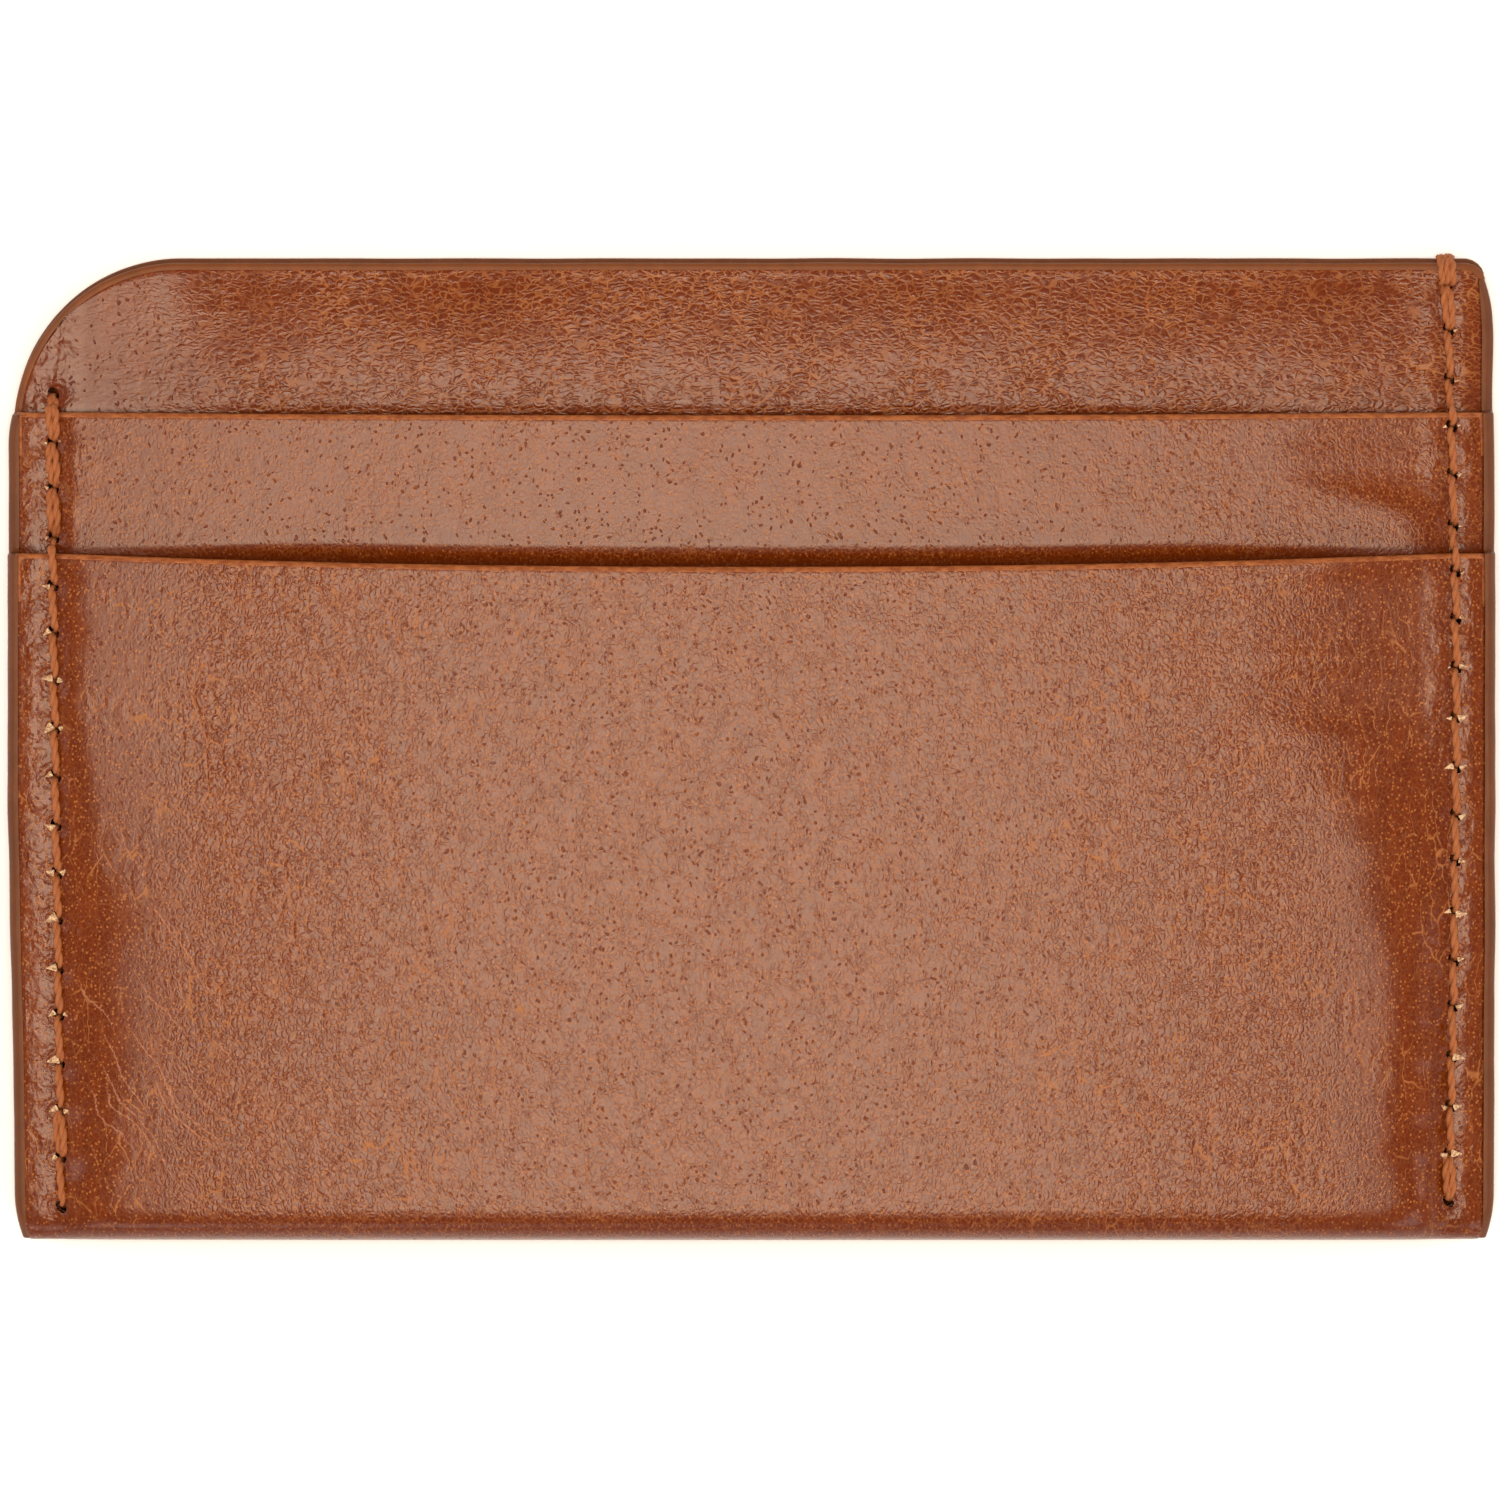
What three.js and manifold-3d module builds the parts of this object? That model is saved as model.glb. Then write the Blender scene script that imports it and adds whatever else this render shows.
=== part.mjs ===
// A slim leather card holder, lying on its back.
//
// One strip of leather makes the back, folds under at the bottom and comes up the front as the lower
// card pocket. A T-shaped panel behind that pocket is the middle one, and an inner panel behind both
// is the front wall of the top pocket, whose mouth has one rounded corner. Two sewn side seams hold it
// all together, a third seam is the floor of the middle pocket, and the cut edges are painted.
//
// Millimetres. X runs across the width, Y up the face from the fold to the open top, and Z out of the
// front. Heights are measured from the fold, and the last group moves them to the middle of the back.
import * as THREE from "three";
import { mergeVertices } from "three/addons/utils/BufferGeometryUtils.js";
import Module from "manifold-3d";

// ---- driving dimensions ----
const width = 102; // over the edge paint
const height = 67.8; // from the fold to the top of the seam's last stitch
const leather = 1.1; // thickness of every panel
const glueLine = 0.15; // cement between panels in the seams
const pocketEase = 0.45; // how far each pocket stands open between the seams
const paint = 0.45; // thickness of the dried edge paint
const clearance = 0.05; // between pieces that touch

const backTop = 67.25; // top edges, over the paint
const innerTop = 66.9;
const roundCorner = 11.4; // the thumb corner of the top pocket, over the paint
const squareCorner = 0.9;

const middleMouth = { atSeam: 57.1, atCentre: 56.6 };
const frontMouth = { atSeam: 47.3, atCentre: 46.2 };

const threadRadius = 0.25;
const seamX = 47.9; // stitch lines, either side of the centre
const seams = {
  left: { x: -seamX, top: 58.3, bottom: 2.4, holes: 18 },
  right: { x: seamX, top: 65.9, bottom: 2.6, holes: 20 },
};
const floorSeam = { y: 10.6, reach: 38, holes: 20 };

const ear = { bottom: 38.4 }; // the part of the T that the side seams catch
const body = { halfWidth: 40.6, bottom: 9 }; // the part of the T that hangs between them

// ---- sizes that follow ----
const sideEdge = width / 2 - paint;
const layer = leather + glueLine;
const innerBottomEdge = 2.6; // the inner panel stops inside the fold
const groove = { depth: 2 * threadRadius + 2 * clearance, halfWidth: threadRadius + 0.17 };
const { smoothstep } = THREE.MathUtils;

// How far in from a seam a point is: 0 from `from` outwards, 1 from `to` inwards.
const inward = (x, from, to) => 1 - smoothstep(Math.abs(x), to, from);
const betweenSeams = (x) => inward(x, 47.2, 40);

// How far up the ear of the T a point is: 0 below it and 1 over it.
const overEar = (y) => smoothstep(y, 33, 38);

// Undersides of the three panels in front of the back, each resting on the one below in the seams and
// standing off it between them.
const innerUnderside = (x) => layer + pocketEase * betweenSeams(x);
const middleUnderside = (x) => 2 * innerUnderside(x);

function frontUnderside(x, y) {
  const underneath = THREE.MathUtils.lerp(overEar(y), 1, inward(x, 47.2, 44.8));
  return middleUnderside(x) + layer * underneath + pocketEase * betweenSeams(x);
}

// The fold is as thick as the holder is there.
const foldRadius = (x) => (frontUnderside(x, 0) + leather) / 2;

// The face that a stitch of a side seam lies on at a height y.
function seamFace(y) {
  if (y > middleMouth.atSeam) return leather + layer;
  if (y > frontMouth.atSeam) return leather + 2 * layer;
  return leather + 2 * layer + layer * overEar(y);
}

// ---- solids ----
const wasm = await Module();
wasm.setup();

function toSolid(geometry) {
  const bare = geometry.clone();
  for (const name of ["normal", "uv"]) bare.deleteAttribute(name);
  const merged = mergeVertices(bare, 1e-4);
  return new wasm.Manifold(
    new wasm.Mesh({
      numProp: 3,
      vertProperties: merged.attributes.position.array,
      triVerts: new Uint32Array(merged.index.array),
    }),
  );
}

function toGeometry(solid) {
  const mesh = solid.getMesh();
  const geometry = new THREE.BufferGeometry();
  geometry.setAttribute("position", new THREE.BufferAttribute(mesh.vertProperties, 3));
  geometry.setIndex(new THREE.BufferAttribute(mesh.triVerts, 1));
  geometry.computeVertexNormals();
  return geometry;
}

const joined = (solids) => solids.reduce((all, one) => all.add(one));

// A closed slab over a grid of columns and rows. place(column, row, outer) says where each corner goes.
function slab(columns, rows, place) {
  const across = columns.length - 1;
  const along = rows.length - 1;
  const box = new THREE.BoxGeometry(1, 1, 1, across, along, 1);
  const points = box.attributes.position;
  for (let i = 0; i < points.count; i++) {
    const column = columns[Math.round((points.getX(i) + 0.5) * across)];
    const row = rows[Math.round((points.getY(i) + 0.5) * along)];
    points.setXYZ(i, ...place(column, row, points.getZ(i) > 0));
  }
  return toSolid(box);
}

const halfColumns = [20, 40, 42, 43.6, 44.8, 46, 47.2, width / 2 + 1];
const columns = [...halfColumns.map((x) => -x).reverse(), 0, ...halfColumns];
const rowHeights = [18, 33, 35.5, 38, height + 1];

const panelSlab = (underside) =>
  slab(columns, [0, height + 1], (x, y, outer) => [x, y, underside(x) + (outer ? leather : 0)]);

// A straight-sided plug of a flat outline, from one height to another.
function plug(outline, from, to) {
  const geometry = new THREE.ExtrudeGeometry(outline, {
    depth: to - from,
    bevelEnabled: false,
    curveSegments: 16,
  });
  return toSolid(geometry.translate(0, 0, from));
}

const throughAll = (outline) => plug(outline, -5, 15);

function rectangle(left, bottom, right, top) {
  const shape = new THREE.Shape();
  shape.moveTo(left, bottom).lineTo(right, bottom).lineTo(right, top).lineTo(left, top);
  return shape;
}

// The outline of a full panel. grow moves its sides, top and corners out from the leather's edge.
function panelOutline(bottom, top, grow) {
  const side = sideEdge + grow;
  const edge = top - paint + grow;
  const round = roundCorner - paint + grow;
  const square = squareCorner - paint + grow;
  const shape = new THREE.Shape();
  shape.moveTo(-side, bottom);
  shape.lineTo(side, bottom);
  shape.absarc(side - square, edge - square, square, 0, Math.PI / 2, false);
  shape.absarc(-side + round, edge - round, round, Math.PI / 2, Math.PI, false);
  return shape;
}

// What lies above a mouth, whose edge dips in a shallow curve between the seams.
function aboveMouth({ atSeam, atCentre }, from) {
  const shape = new THREE.Shape();
  shape.moveTo(-width, atSeam);
  shape.lineTo(-seamX, atSeam);
  shape.quadraticCurveTo(0, 2 * atCentre - atSeam, seamX, atSeam);
  shape.lineTo(width, atSeam);
  shape.lineTo(width, height + 5);
  shape.lineTo(-width, height + 5);
  return plug(shape, from, 15);
}

// ---- stitching ----
const spread = (from, to, count) =>
  Array.from({ length: count }, (_, i) => from + ((to - from) * i) / (count - 1));

const holeHeights = ({ top, bottom, holes }) => spread(top, bottom, holes);

// A slanting diamond hole, as a pricking iron leaves.
function awlHole(x, y) {
  const reach = { along: 0.62, across: 0.4 };
  const corners = [[reach.along, 0], [0, reach.across], [-reach.along, 0], [0, -reach.across]];
  const centre = new THREE.Vector2(x, y);
  const slanted = corners.map(([along, across]) =>
    new THREE.Vector2(x + along, y + across).rotateAround(centre, -Math.PI / 4),
  );
  return throughAll(new THREE.Shape(slanted));
}

const threadSides = 5;
const threadSection = new THREE.Shape(
  spread(0, 2 * Math.PI, threadSides + 1)
    .slice(1)
    .map((turn) => new THREE.Vector2(threadRadius, 0).rotateAround(new THREE.Vector2(), turn)),
);

// A length of thread through points, which are [x, y, z].
function strand(points, steps) {
  const path = new THREE.CatmullRomCurve3(
    points.map((p) => new THREE.Vector3(...p)),
    false,
    "catmullrom",
    0,
  );
  return toSolid(new THREE.ExtrudeGeometry(threadSection, { steps, extrudePath: path }));
}

// A row of stitches: a leg through each hole, and a strand from hole to hole on either face.
// at(s) is a place along the seam, and over(s) and under(s) are the thread's centre heights there.
function sewnRow(stops, at, over, under) {
  const legs = stops.map((s) => strand([[...at(s), under(s)], [...at(s), over(s)]], 1));
  const pairs = stops.slice(1).map((s, i) => [stops[i], s]);
  const faces = pairs.flatMap(([a, b]) => {
    const ends = Math.abs(over(a) - over(b)) > 0.01 ? 7 : 2;
    const top = spread(a, b, ends).map((s) => [...at(s), over(s)]);
    return [
      strand(top, ends - 1),
      strand([[...at(a), under(a)], [...at(b), under(b)]], 1),
    ];
  });
  return joined([...legs, ...faces]);
}

const backThread = threadRadius + clearance;

function sideSeamThread(seam) {
  const reach = 0.55; // a stitch climbs a panel's edge this far before it
  const over = (y) =>
    Math.max(...spread(y - reach, y + reach, 5).map(seamFace)) + threadRadius + clearance;
  return sewnRow(holeHeights(seam), (y) => [seam.x, y], over, () => backThread);
}

// The last stitch of the right seam goes over the top edges and closes that end of the pocket.
function topLoop(seam) {
  const crest = height - threadRadius;
  const front = seamFace(seam.top) + backThread;
  const corner = 0.3;
  return strand(
    [
      [seam.x, seam.top, front],
      [seam.x, crest - corner, front],
      [seam.x, crest, front - corner],
      [seam.x, crest, backThread + corner],
      [seam.x, crest - corner, backThread],
      [seam.x, seam.top, backThread],
    ],
    12,
  );
}

function floorThread() {
  const { y, reach, holes } = floorSeam;
  return sewnRow(
    spread(-reach, reach, holes),
    (x) => [x, y],
    (x) => middleUnderside(x) + leather + backThread,
    (x) => innerUnderside(x) - backThread,
  );
}

const sideHoles = joined(
  Object.values(seams).flatMap((seam) => holeHeights(seam).map((y) => awlHole(seam.x, y))),
);
const floorHoles = joined(
  spread(-floorSeam.reach, floorSeam.reach, floorSeam.holes).map((x) => awlHole(x, floorSeam.y)),
);

// Grooves that let the thread lie below the back's surface. The right one runs off the top edge.
function backGroove(seam, top) {
  const { halfWidth, depth } = groove;
  const outline = rectangle(seam.x - halfWidth, seam.bottom - 0.5, seam.x + halfWidth, top);
  return plug(outline, -1, depth);
}
const grooves = backGroove(seams.left, seams.left.top + 0.5).add(backGroove(seams.right, height + 1));

// ---- leather ----
const backOutline = throughAll(panelOutline(-1, backTop, 0));

// The strip that is the back, the fold and the front pocket, in rows from the back's top to the mouth.
function outerShell() {
  const turns = 8;
  const fold = spread(0, Math.PI, turns + 1).map((angle) => ({ angle }));
  const front = rowHeights.filter((y) => y < frontMouth.atSeam).map((y) => ({ y }));
  const rows = [{ backY: height + 1 }, ...fold, ...front, { y: frontMouth.atSeam + 1 }];
  const strip = slab(columns, rows, (x, { backY, angle, y }, outer) => {
    if (backY) return [x, backY, outer ? 0 : leather];
    if (y) return [x, y, frontUnderside(x, y) + (outer ? leather : 0)];
    const middle = foldRadius(x);
    const radius = outer ? middle : middle - leather;
    return [x, middle - radius * Math.sin(angle), middle - radius * Math.cos(angle)];
  });
  return strip
    .intersect(backOutline)
    .subtract(aboveMouth(frontMouth, leather + clearance))
    .subtract(sideHoles)
    .subtract(grooves);
}

function innerPanel() {
  return panelSlab(innerUnderside)
    .intersect(throughAll(panelOutline(innerBottomEdge, innerTop, 0)))
    .subtract(sideHoles)
    .subtract(floorHoles);
}

function middlePanel() {
  const shape = new THREE.Shape();
  shape.moveTo(-body.halfWidth, body.bottom);
  shape.lineTo(body.halfWidth, body.bottom);
  shape.lineTo(body.halfWidth, ear.bottom);
  shape.lineTo(sideEdge, ear.bottom);
  shape.lineTo(sideEdge, height);
  shape.lineTo(-sideEdge, height);
  shape.lineTo(-sideEdge, ear.bottom);
  shape.lineTo(-body.halfWidth, ear.bottom);
  return panelSlab(middleUnderside)
    .intersect(throughAll(shape))
    .subtract(aboveMouth(middleMouth, 0))
    .subtract(sideHoles)
    .subtract(floorHoles);
}

// ---- edge paint ----
// The bead that seals the stack of panels along a side. Its outline is drawn as seen from the side.
function sideBead(direction) {
  const top = innerTop;
  const stack = new THREE.Shape();
  const fold = foldRadius(sideEdge);
  stack.absarc(fold, fold, fold, Math.PI / 2, (3 * Math.PI) / 2, false);
  stack.lineTo(top, 0);
  stack.lineTo(top, seamFace(top));
  stack.lineTo(middleMouth.atSeam, leather + layer);
  stack.lineTo(middleMouth.atSeam, leather + 2 * layer);
  stack.lineTo(frontMouth.atSeam, leather + 2 * layer);
  stack.lineTo(frontMouth.atSeam, leather + 3 * layer);
  stack.lineTo(38, leather + 3 * layer);
  stack.lineTo(33, leather + 2 * layer);
  const bead = new THREE.ExtrudeGeometry(stack, {
    depth: paint - clearance,
    bevelEnabled: false,
    curveSegments: 8,
  });
  const [x, y, z] = [0, 1, 2].map((axis) => new THREE.Vector3().setComponent(axis, 1));
  bead.applyMatrix4(new THREE.Matrix4().makeBasis(y, z, x));
  const start = direction > 0 ? sideEdge + clearance : -width / 2;
  return toSolid(bead.translate(start, 0, 0));
}

// On the left it stops where the corner starts to curve.
function leftBead() {
  return sideBead(-1).intersect(throughAll(rectangle(-width, -1, 0, middleMouth.atSeam)));
}

// The bead round the free edge of a panel, from the top of the left seam to the top of the right one.
function freeEdgeBead(panel, top) {
  const free = new THREE.Shape();
  const start = middleMouth.atSeam + clearance;
  free.moveTo(-width, start).lineTo(0, start).lineTo(sideEdge - 0.3, top - 5);
  free.lineTo(sideEdge - 0.3, top + 5).lineTo(-width, top + 5);
  return panel
    .intersect(throughAll(panelOutline(0, top, paint)))
    .subtract(throughAll(panelOutline(-2, top, clearance)))
    .intersect(throughAll(free));
}

const backSlab = slab([-width, width], [0, height], (x, y, outer) => [x, y, outer ? leather : 0]);

// ---- the assembly ----
const leatherFinish = new THREE.MeshStandardMaterial({ color: 0x9c5a34, roughness: 0.42 });
const paintFinish = new THREE.MeshStandardMaterial({ color: 0x7a4a30, roughness: 0.35 });
const threadFinish = new THREE.MeshStandardMaterial({ color: 0xb8703f, roughness: 0.8 });

const pieces = [
  ["outer_shell", outerShell(), leatherFinish],
  ["inner_panel", innerPanel(), leatherFinish],
  ["middle_pocket_panel", middlePanel(), leatherFinish],
  ["left_seam_thread", sideSeamThread(seams.left), threadFinish],
  ["right_seam_thread", sideSeamThread(seams.right).add(topLoop(seams.right)), threadFinish],
  ["pocket_floor_thread", floorThread(), threadFinish],
  ["left_edge_paint", leftBead(), paintFinish],
  ["right_edge_paint", sideBead(1), paintFinish],
  ["inner_panel_edge_paint", freeEdgeBead(panelSlab(innerUnderside), innerTop), paintFinish],
  ["back_edge_paint", freeEdgeBead(backSlab, backTop).subtract(grooves), paintFinish],
];

const holder = new THREE.Group();
for (const [name, solid, material] of pieces) {
  const mesh = new THREE.Mesh(toGeometry(solid), material);
  mesh.name = name;
  holder.add(mesh);
}
const extent = new THREE.Box3().setFromObject(holder);
holder.position.y = -(extent.min.y + extent.max.y) / 2;

const cardHolder = new THREE.Group();
cardHolder.add(holder);
export default cardHolder;
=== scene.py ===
import math
import random

import bmesh
import bpy
from mathutils import Matrix, Vector, noise


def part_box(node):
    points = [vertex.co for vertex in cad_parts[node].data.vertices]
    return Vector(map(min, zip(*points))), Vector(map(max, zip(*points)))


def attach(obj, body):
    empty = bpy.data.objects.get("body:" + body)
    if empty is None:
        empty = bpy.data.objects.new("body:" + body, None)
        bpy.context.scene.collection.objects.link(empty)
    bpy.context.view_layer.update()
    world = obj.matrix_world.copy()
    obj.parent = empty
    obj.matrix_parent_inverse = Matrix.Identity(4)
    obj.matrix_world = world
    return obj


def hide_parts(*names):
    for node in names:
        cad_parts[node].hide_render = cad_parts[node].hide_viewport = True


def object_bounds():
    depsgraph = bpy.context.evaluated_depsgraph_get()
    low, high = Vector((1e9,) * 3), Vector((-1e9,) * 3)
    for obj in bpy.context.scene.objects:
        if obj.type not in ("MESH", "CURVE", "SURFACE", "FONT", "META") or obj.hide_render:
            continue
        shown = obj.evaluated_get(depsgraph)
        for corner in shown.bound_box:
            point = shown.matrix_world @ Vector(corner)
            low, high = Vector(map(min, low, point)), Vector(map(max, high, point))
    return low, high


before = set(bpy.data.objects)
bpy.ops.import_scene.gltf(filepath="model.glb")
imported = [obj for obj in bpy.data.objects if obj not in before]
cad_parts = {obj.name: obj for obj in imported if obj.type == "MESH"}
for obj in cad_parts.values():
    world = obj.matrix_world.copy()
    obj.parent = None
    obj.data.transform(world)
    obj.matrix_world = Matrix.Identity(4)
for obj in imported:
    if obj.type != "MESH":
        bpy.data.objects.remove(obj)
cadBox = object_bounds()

mm = 0.001
random.seed(7)

# Everything is laid out in millimetres: x across from the middle, h up from the fold, z out of the back.
foldY = cadBox[0].y / mm
stack = {
    "leather": 1.1,
    "layer": 1.25,  # leather and the cement under it
    "front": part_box("outer_shell")[1].z / mm,
    "middle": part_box("middle_pocket_panel")[1].z / mm,
    "inner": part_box("inner_panel")[1].z / mm,
    "earFrom": 5.0,  # the front climbs on to the middle panel's ear over this stretch
    "earTo": 40.0,
    # how far each panel falls away from its middle to its left and right sides
    "crown": {"front": {-1: 0.75, 1: 0.45}, "middle": {-1: 0.5, 1: 0.45}, "inner": {-1: 0.45, 1: 0.3}},
    "crownReach": 47.0,
}
outline = {
    "left": 50.5,  # cut edge of the leather
    "right": 50.72,
    "backTop": 67.45,
    "innerTop": 67.08,
    "corner": 11.2,
    "topCorner": 1.1,
    "taper": 0.44,  # the left side drifts in by this towards the fold, below this height
    "taperBelow": 34.0,
    "rightTuck": 0.35,  # the right side draws in at its top
    "rightTuckFrom": 62.0,
    "foldTuck": 0.15,  # the ends of the fold draw in
    "foldTuckBelow": 3.2,
    "wander": 0.07,
}
# A lip's height at the seams, how far it sags in the middle, and where the panel starts to follow it.
mouths = {
    "front": {"seam": 47.3, "sag": 0.95, "bendFrom": 36.0, "bendOver": 11.0},
    "middle": {"seam": 57.05, "sag": 0.24, "bendFrom": 50.0, "bendOver": 7.0},
}
sagging = {"reach": 48.0, "power": 2.2}
seams = {
    "left": {"side": -1, "top": 58.4, "bottom": 2.3, "holes": 18, "x": 48.15, "lean": 0.75, "bow": 0.0},
    "right": {"side": 1, "top": 66.0, "bottom": 2.7, "holes": 20, "x": 48.15, "lean": 0.1, "bow": 0.45},
}
# The leather's ramp up from each seam: from which height, how wide, and how soon it levels out.
ramps = {
    "start": 47.6,
    "uneven": 0.45,
    "front": {
        -1: [(20, 5.6, 3.2), (36, 2.4, 3.0)],
        1: [(17, 4.6, 3.2), (41, 12.5, 1.6)],
    },
    "middle": {
        -1: [(40, 1.1, 2.0)],
        1: [(49.8, 3.0, 2.0), (53.6, 11.0, 1.25)],
    },
    "inner": {
        -1: [(40, 14.0, 1.0)],
        1: [(55, 12.0, 1.6), (60, 9.0, 1.6)],
    },
}
# A gentler shoulder inside the ramp of the front: how wide, and how far it falls, low down and high up.
shoulders = {
    -1: {"width": 17.0, "low": 0.58, "high": 0.14},
    1: {"width": 12.0, "low": 0.3, "high": 0.14},
    "from": 18.0,
    "over": 22.0,
}
flange = {"from": 48.2, "wide": 2.5, "droop": {-1: 0.19, 1: 0.46}, "leftFade": 3.0}
# The panels dip where they go down behind a mouth, less so where the mouth is shut near the seams.
dips = {
    "front": {"band": 1.2, "depth": 0.55},
    "middle": {"band": 0.5, "depth": 0.26},
    "shut": {"share": 0.3, "from": 46.0, "over": 18.0},
}
# The top of the inner panel leans back, between two places across it.
lean = {
    "depth": 0.52, "bend": 1.6, "uneven": 1.3,
    "left": -41.5, "right": 50.0, "fade": 6.0,
    "from": 60.4, "over": 6.0,
}
pucker = {
    "depth": 0.17, "reach": 1.0, "along": 0.8,
    "groove": 0.1, "grooveWidth": 0.55,
    "ripple": 0.05, "rippleReach": 1.9, "rippleSize": 0.9,
    "within": 4.0, "above": 1.5, "fade": 0.6,
}
groove = {"depth": 0.58, "half": 0.625, "past": 1.0, "fade": 0.8}
middleBody = {"half": 40.4, "from": 9.0, "earFrom": 38.4}
innerFrom = 2.6
fold = {"reach": 1.95, "length": 8.0, "square": 0.85}
lip = {"radius": 0.36, "rim": 0.22}
print("card holder, faces at", [round(stack[k], 2) for k in ("inner", "middle", "front")], "mm")


def clamp(t):
    return min(1.0, max(0.0, t))


def smooth(t):
    t = clamp(t)
    return t * t * (3 - 2 * t)


def mix(a, b, t):
    return a + (b - a) * t


def wobble(x, h, size, seed=0.0):
    return noise.noise(Vector((x / size, h / size, seed)))


def spot(x, h, z):
    return Vector((x * mm, (foldY + h) * mm, z * mm))


def mouthHeight(mouth, x):
    reach = clamp(abs(x) / sagging["reach"])
    return mouth["seam"] - mouth["sag"] * (1 - reach ** sagging["power"])


def loweredToMouth(mouth, x, h):
    sag = mouth["seam"] - mouthHeight(mouth, x)
    return h - sag * smooth((h - mouth["bendFrom"]) / mouth["bendOver"])


def ramp(panel, side, h):
    stages = ramps[panel][side]
    for (low, *shape), (high, *nextShape) in zip(stages, stages[1:]):
        if h < high:
            return [mix(a, b, smooth((h - low) / (high - low))) for a, b in zip(shape, nextShape)]
    return stages[-1][1:]


def raised(panel, panels, x, h):
    side = -1 if x < 0 else 1
    inside = ramps["start"] - abs(x)
    width, bend = ramp(panel, side, h)
    width *= 1 + ramps["uneven"] * (wobble(side * 20, h, 5.0) + 0.5 * wobble(side * 20, h, 1.7))
    lifted = 1 - (1 - clamp(inside / width)) ** bend
    full = stack[panel] - stack["crown"][panel][side] * (x / stack["crownReach"]) ** 2
    if panel == "front":
        shoulder = shoulders[side]
        fall = mix(shoulder["low"], shoulder["high"], smooth((h - shoulders["from"]) / shoulders["over"]))
        full -= fall * (1 - clamp(inside / shoulder["width"])) ** 2
    droop = flange["droop"][side] * clamp((abs(x) - flange["from"]) / flange["wide"]) ** 2
    if side < 0:
        droop *= smooth((seams["left"]["top"] + flange["leftFade"] - h) / flange["leftFade"])
    return mix(seamHeight(panels, h), full, lifted) - droop


def seamHeight(panels, h):
    base = stack["leather"] + stack["layer"] * (panels - 1)
    if panels == 4:
        over = clamp((h - stack["earFrom"]) / (stack["earTo"] - stack["earFrom"]))
        base -= stack["layer"] * (1 - over)
    return base


def dip(mouth, x, h):
    shut = dips["shut"]
    parted = mix(shut["share"], 1.0, smooth((shut["from"] - abs(x)) / shut["over"]))
    gap = h - mouthHeight(mouths[mouth], x)
    return dips[mouth]["depth"] * parted * (1 - smooth(gap / (dips[mouth]["band"] * parted)))


def innerFace(x, h):
    z = raised("inner", 2, x, h) - dip("middle", x, h)
    between = smooth((x - lean["left"]) / lean["fade"]) * smooth((lean["right"] - x) / lean["fade"])
    uneven = 1 + lean["uneven"] * wobble(x, h * 0.4, 13.0, 9.0)
    return z - lean["depth"] * uneven * between * clamp((h - lean["from"]) / lean["over"]) ** lean["bend"]


def innerUnderside(x, h):
    # skived thinner wherever it would otherwise press into the back
    return max(innerFace(x, h) - stack["leather"], stack["leather"] + 0.01)


def middleFace(x, h):
    return raised("middle", 3, x, h) - dip("front", x, h)


def frontFace(x, h):
    return raised("front", 4, x, h)


def topFace(x, h):
    if h < mouthHeight(mouths["front"], x):
        return frontFace(x, h)
    if h < mouthHeight(mouths["middle"], x):
        return middleFace(x, h)
    return innerFace(x, h)


def seamX(seam, h):
    along = clamp(h / 66)
    x = seam["x"] - seam["lean"] * (1 - along) + seam["bow"] * math.sin(math.pi * along)
    return seam["side"] * x


def stitchHeights(seam):
    pitch = (seam["top"] - seam["bottom"]) / (seam["holes"] - 1)
    spread = random.Random(seam["holes"])
    between = [seam["top"] - pitch * i + spread.uniform(-0.16, 0.16) for i in range(1, seam["holes"] - 1)]
    return [seam["top"], *between, seam["bottom"]]


for seam in seams.values():
    seam["stops"] = stitchHeights(seam)


def bell(distance, reach):
    return math.exp(-((distance / reach) ** 2))


def puckered(x, h, z):
    # the leather draws in around each hole, sinks along the row and ripples beside it
    seam = seams["left"] if x < 0 else seams["right"]
    across = x - seamX(seam, h)
    if abs(across) > pucker["within"] or h > seam["top"] + pucker["above"]:
        return z
    nearest = min(abs(h - stop) for stop in seam["stops"])
    inRow = smooth((seam["top"] + pucker["fade"] - h) / pucker["fade"])
    pull = bell(across, pucker["reach"]) * bell(nearest, pucker["along"])
    line = bell(across, pucker["grooveWidth"]) * inRow
    ripples = wobble(x * 1.6, h, pucker["rippleSize"], 3.1) * bell(across, pucker["rippleReach"])
    return z - pucker["depth"] * pull - pucker["groove"] * line + pucker["ripple"] * ripples


def slab(across, along, place, trimmed=None):
    # a closed skin with two faces: place() bends each from a flat grid, and says where the inner one goes
    bm = bmesh.new()
    bmesh.ops.create_grid(bm, x_segments=across, y_segments=along, size=0.5)
    if trimmed:
        off = [f for f in bm.faces if trimmed(*(f.calc_center_median().xy + Vector((0.5, 0.5))))]
        bmesh.ops.delete(bm, geom=off, context="FACES")
    outer = bm.verts[:]
    rim = [e for e in bm.edges if e.is_boundary]
    copied = bmesh.ops.duplicate(bm, geom=bm.verts[:] + bm.edges[:] + bm.faces[:])["geom"]
    inner = [g for g in copied if isinstance(g, bmesh.types.BMVert)]
    bmesh.ops.translate(bm, verts=inner, vec=(0, 0, -0.001))
    bmesh.ops.reverse_faces(bm, faces=[g for g in copied if isinstance(g, bmesh.types.BMFace)])
    bmesh.ops.bridge_loops(bm, edges=[e for e in bm.edges if e.is_boundary])
    for verts, isOuter in ((outer, True), (inner, False)):
        for v in verts:
            v.co = place(v.co.x + 0.5, v.co.y + 0.5, isOuter)
    bmesh.ops.recalc_face_normals(bm, faces=bm.faces)
    if bm.calc_volume(signed=True) < 0:
        bmesh.ops.reverse_faces(bm, faces=bm.faces)
    return bm, rim


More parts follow.
